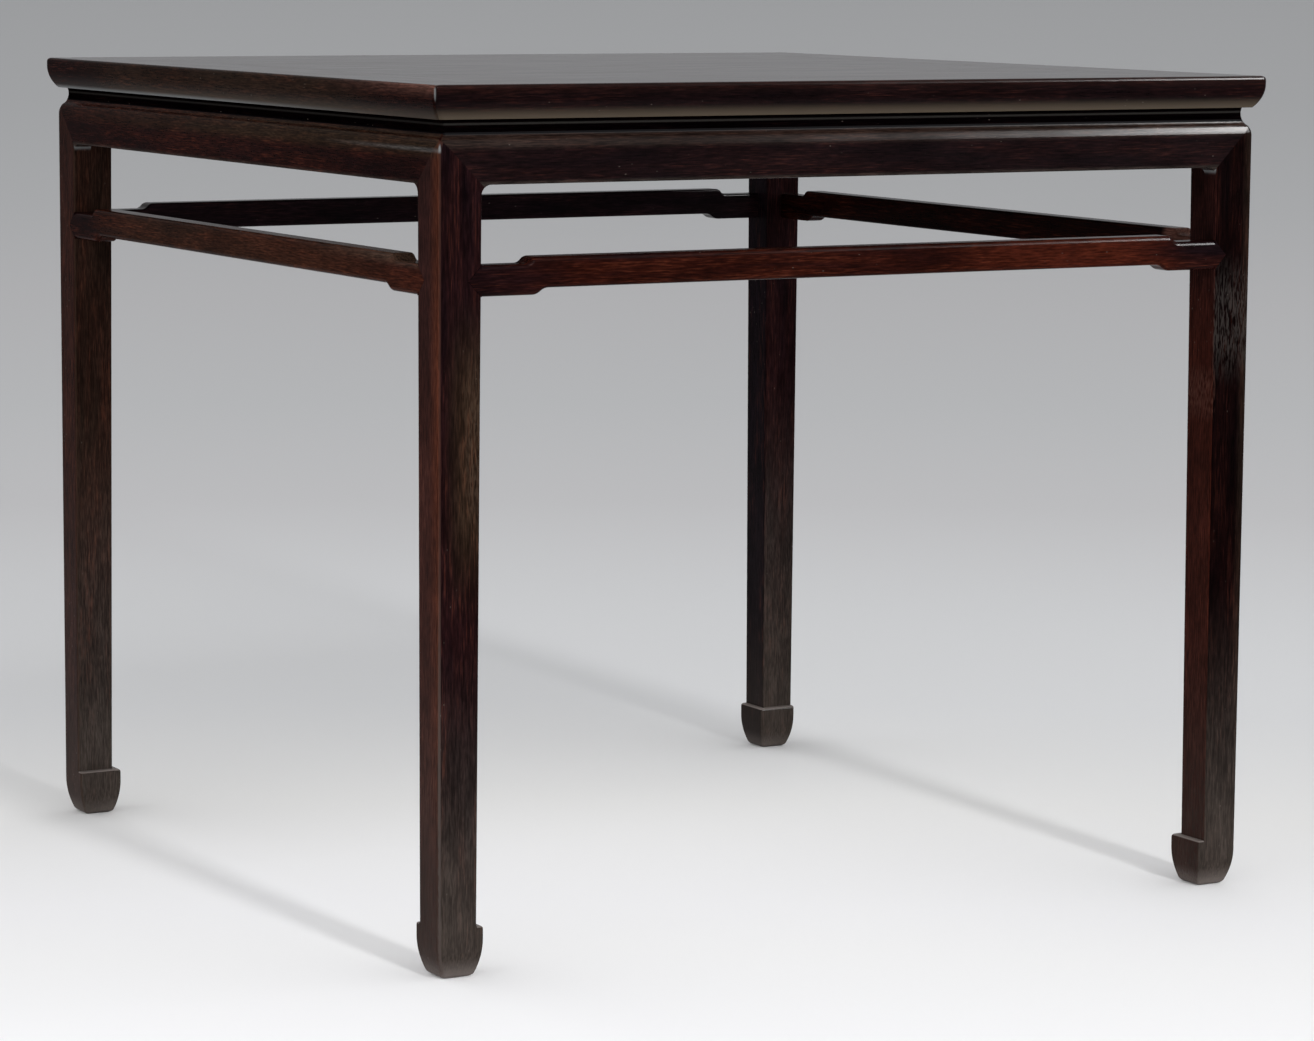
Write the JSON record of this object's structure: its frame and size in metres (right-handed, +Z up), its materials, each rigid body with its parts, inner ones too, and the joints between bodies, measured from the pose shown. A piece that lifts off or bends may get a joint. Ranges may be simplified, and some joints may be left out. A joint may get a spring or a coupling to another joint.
{
  "type": "square waisted dining table",
  "caption": "Square dark rosewood dining table with a waist, mitred top frame, floating panel, humpback stretchers and hoof feet.",
  "frame": {"origin": "on the floor, at the centre of the table's square footprint", "axes": "+Z points up. -Y is the front, whose frame member carries the corner tenons. +X points to the right of someone who stands in front of the table, and the boards of the panel run along X."},
  "size_m": [0.972, 0.972, 0.86],
  "materials": {
    "dark_rosewood": "waxed and polished",
    "secondary_hardwood": "planed, unpolished"
  },
  "bodies": {
    "root": {"frame_front": "dark_rosewood", "frame_right": "dark_rosewood", "frame_back": "dark_rosewood", "frame_left": "dark_rosewood", "panel_board_1": "dark_rosewood", "panel_board_2": "dark_rosewood", "panel_board_3": "dark_rosewood", "panel_board_4": "dark_rosewood", "waist_front": "dark_rosewood", "waist_right": "dark_rosewood", "waist_back": "dark_rosewood", "waist_left": "dark_rosewood", "apron_front": "dark_rosewood", "apron_right": "dark_rosewood", "apron_back": "dark_rosewood", "apron_left": "dark_rosewood", "leg_front_left": "dark_rosewood", "leg_front_right": "dark_rosewood", "leg_back_right": "dark_rosewood", "leg_back_left": "dark_rosewood", "stretcher_front": "dark_rosewood", "stretcher_right": "dark_rosewood", "stretcher_back": "dark_rosewood", "stretcher_left": "dark_rosewood", "batten_left": "secondary_hardwood", "batten_middle": "secondary_hardwood", "batten_right": "secondary_hardwood", "key_front_1": "secondary_hardwood", "key_front_2": "secondary_hardwood", "key_right_1": "secondary_hardwood", "key_right_2": "secondary_hardwood", "key_back_1": "secondary_hardwood", "key_back_2": "secondary_hardwood", "key_left_1": "secondary_hardwood", "key_left_2": "secondary_hardwood"}
  },
  "joints": []
}
